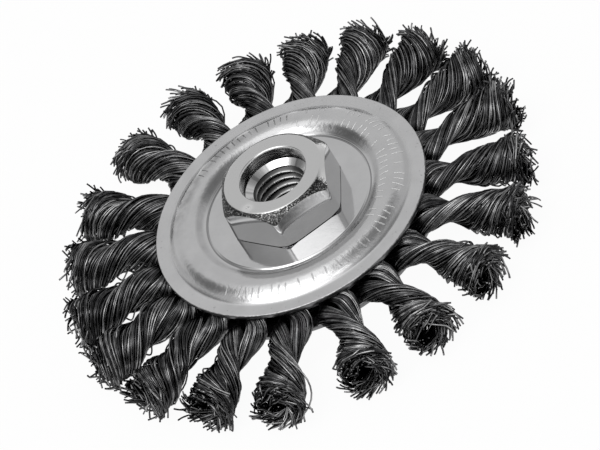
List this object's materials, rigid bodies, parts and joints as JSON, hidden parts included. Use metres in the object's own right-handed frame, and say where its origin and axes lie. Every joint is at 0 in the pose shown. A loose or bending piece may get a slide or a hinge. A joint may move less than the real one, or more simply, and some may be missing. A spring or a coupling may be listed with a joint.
{
  "type": "wire wheel brush",
  "caption": "Round twist-knot wire wheel brush with pressed plates and a hex hub nut threaded for a grinder spindle.",
  "frame": {"origin": "on the spindle's axis, half way through the knots and the core disc, inside the threaded bore", "axes": "+Z along the spindle's axis, out of the nut; +X half way between two of the wire knots"},
  "size_m": [0.1152, 0.1151, 0.0214],
  "materials": {
    "plated_sheet": "bright zinc plate, satin rim, fine rubbed marks",
    "plated_nut": "bright zinc plate on a machined nut",
    "oiled_wire": "dark oiled carbon steel wire",
    "plain_steel": "plain pressed steel"
  },
  "bodies": {
    "root": {"hub_nut": "plated_nut", "front_plate": "plated_sheet", "back_plate": "plated_sheet", "core_disc": "plain_steel", "front_spacer": "plain_steel", "back_spacer": "plain_steel", "knot_01": "oiled_wire", "knot_02": "oiled_wire", "knot_03": "oiled_wire", "knot_04": "oiled_wire", "knot_05": "oiled_wire", "knot_06": "oiled_wire", "knot_07": "oiled_wire", "knot_08": "oiled_wire", "knot_09": "oiled_wire", "knot_10": "oiled_wire", "knot_11": "oiled_wire", "knot_12": "oiled_wire", "knot_13": "oiled_wire", "knot_14": "oiled_wire", "knot_15": "oiled_wire", "knot_16": "oiled_wire", "knot_17": "oiled_wire", "knot_18": "oiled_wire", "knot_19": "oiled_wire", "knot_20": "oiled_wire"}
  },
  "joints": []
}
